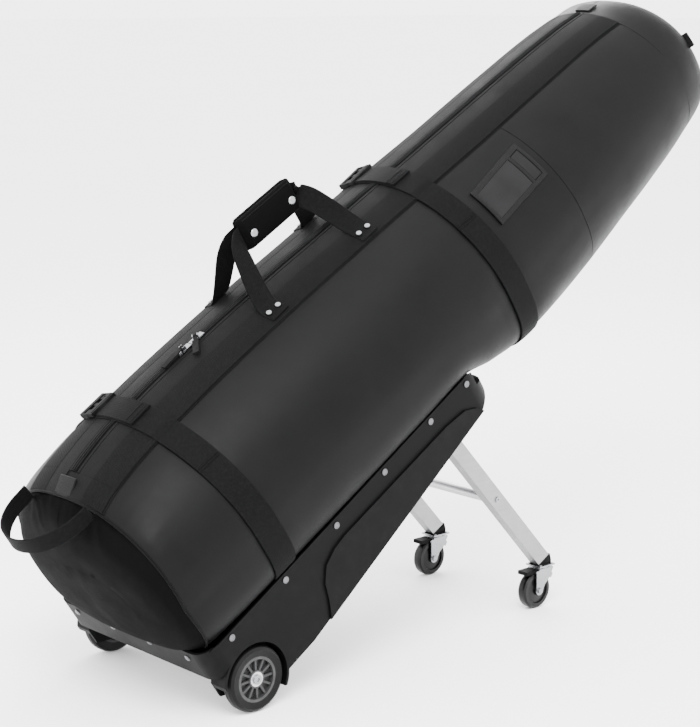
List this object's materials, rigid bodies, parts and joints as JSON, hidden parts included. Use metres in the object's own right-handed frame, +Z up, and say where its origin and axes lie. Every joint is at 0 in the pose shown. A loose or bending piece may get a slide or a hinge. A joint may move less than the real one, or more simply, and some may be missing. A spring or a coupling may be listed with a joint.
{
  "type": "wheeled golf travel case",
  "caption": "Long padded golf travel case with a zipped face and webbing straps, on a moulded wheel tray with folding caster legs.",
  "frame": {"origin": "on the floor under the middle of the whole object's bounding box", "axes": "+Z up, +X from the main wheels towards the head end, +Y towards the side away from the name pocket"},
  "size_m": [1.3726, 0.4118, 1.0097],
  "materials": {
    "nylon": "matte",
    "lining": "matte",
    "webbing": "matte",
    "tray": "textured",
    "black_plastic": "satin",
    "hub": "satin",
    "tyre": "matte",
    "steel": "satin",
    "zinc": "polished",
    "leg": "satin",
    "window": "gloss",
    "bush": "satin"
  },
  "bodies": {
    "case": {"base_tray": "tray", "tray_rivets": "zinc", "axle_rod": "steel", "axle_bolts": "zinc", "axle_spacers": "steel", "pivot_brackets": "steel", "pivot_shaft": "steel", "shaft_retainers": "steel", "stop_blocks": "black_plastic", "fold_clips": "black_plastic", "bag_lower": "nylon", "bag_upper": "nylon", "end_panel": "nylon", "head_pad": "lining", "head_tab": "webbing", "grab_loop": "webbing", "zip_end_tabs": "nylon", "straps_near_side": "webbing", "straps_far_side": "webbing", "id_pocket": "nylon", "id_window": "window"},
    "wheel_near": {"wheel_near_tyre": "tyre", "wheel_near_hub": "hub", "wheel_near_bearings": "steel"},
    "wheel_far": {"wheel_far_tyre": "tyre", "wheel_far_hub": "hub", "wheel_far_bearings": "steel"},
    "legs": {"leg_near": "leg", "leg_far": "leg", "leg_cross_tube": "steel", "leg_bushes": "bush", "leg_screws": "zinc", "friction_washers": "steel", "foot_wedges": "black_plastic", "caster_plates": "zinc"},
    "flap_near": {"flap_near": "nylon", "band_near": "webbing", "zip_near": "black_plastic", "strap_tops_near": "webbing", "buckles_male": "black_plastic", "handle_near": "webbing", "handle_wrap_near": "nylon", "handle_rivets_near": "zinc"},
    "flap_far": {"flap_far": "nylon", "band_far": "webbing", "zip_far": "black_plastic", "buckles_female": "black_plastic", "strap_tails": "webbing", "handle_far": "webbing", "handle_wrap_far": "nylon", "handle_rivets_far": "zinc"},
    "zip_slider_low": {"slider_low": "zinc"},
    "zip_slider_high": {"slider_high": "zinc"},
    "zip_pull_low": {"pull_low": "black_plastic"},
    "zip_pull_high": {"pull_high": "black_plastic"},
    "caster_near": {"caster_near_fork": "zinc", "caster_near_axle": "zinc"},
    "caster_near_roller": {"caster_near_wheel": "tyre"},
    "caster_near_lever": {"caster_near_brake": "black_plastic"},
    "caster_far": {"caster_far_fork": "zinc", "caster_far_axle": "zinc"},
    "caster_far_roller": {"caster_far_wheel": "tyre"},
    "caster_far_lever": {"caster_far_brake": "black_plastic"}
  },
  "joints": [
    {"name": "wheel_near_spin", "type": "hinge", "parent": "case", "child": "wheel_near", "pos_m": [-0.3964, -0.175, 0.05], "axis": [0, 1, 0], "continuous": true},
    {"name": "wheel_far_spin", "type": "hinge", "parent": "case", "child": "wheel_far", "pos_m": [-0.3964, 0.175, 0.05], "axis": [0, 1, 0], "continuous": true},
    {"name": "legs_fold", "type": "hinge", "parent": "case", "child": "legs", "pos_m": [0.01373, 0, 0.35927], "axis": [0, 1, 0], "range_deg": [0, 93]},
    {"name": "caster_near_swivel", "type": "hinge", "parent": "legs", "child": "caster_near", "pos_m": [0.2726, -0.1264, 0.07], "axis": [0, 0, 1], "continuous": true},
    {"name": "caster_near_roll", "type": "hinge", "parent": "caster_near", "child": "caster_near_roller", "pos_m": [0.2566, -0.1264, 0.032], "axis": [0, 1, 0], "continuous": true},
    {"name": "caster_near_brake_press", "type": "hinge", "parent": "caster_near", "child": "caster_near_lever", "pos_m": [0.2521, -0.1264, 0.066], "axis": [0, 1, 0], "range_deg": [-6, 0]},
    {"name": "caster_far_swivel", "type": "hinge", "parent": "legs", "child": "caster_far", "pos_m": [0.2726, 0.1264, 0.07], "axis": [0, 0, 1], "continuous": true},
    {"name": "caster_far_roll", "type": "hinge", "parent": "caster_far", "child": "caster_far_roller", "pos_m": [0.2566, 0.1264, 0.032], "axis": [0, 1, 0], "continuous": true},
    {"name": "caster_far_brake_press", "type": "hinge", "parent": "caster_far", "child": "caster_far_lever", "pos_m": [0.2521, 0.1264, 0.066], "axis": [0, 1, 0], "range_deg": [-6, 0]},
    {"name": "flap_near_open", "type": "hinge", "parent": "case", "child": "flap_near", "pos_m": [-0.23899, -0.0875, 0.56407], "axis": [0.8633, 0.0085, 0.5046], "range_deg": [0, 105]},
    {"name": "flap_far_open", "type": "hinge", "parent": "case", "child": "flap_far", "pos_m": [-0.23899, 0.0875, 0.56407], "axis": [0.8633, -0.0085, 0.5046], "range_deg": [-105, 0]},
    {"name": "zip_low_slide", "type": "slide", "parent": "flap_near", "child": "zip_slider_low", "axis": [0.8451, 0, 0.5345], "range_m": [-0.055, 0]},
    {"name": "zip_high_slide", "type": "slide", "parent": "flap_near", "child": "zip_slider_high", "axis": [0.8546, 0, 0.5192], "range_m": [0, 0.09]},
    {"name": "zip_pull_low_lift", "type": "hinge", "parent": "zip_slider_low", "child": "zip_pull_low", "pos_m": [-0.38171, 0, 0.51027], "axis": [0, 1, 0], "range_deg": [0, 100]},
    {"name": "zip_pull_high_lift", "type": "hinge", "parent": "zip_slider_high", "child": "zip_pull_high", "pos_m": [-0.35781, 0, 0.52487], "axis": [-0.6233, 0.6691, -0.4047], "range_deg": [0, 100]}
  ],
  "couplings": [
    {"joint": "flap_far_open", "follows": "flap_near_open", "ratio": -1}
  ]
}
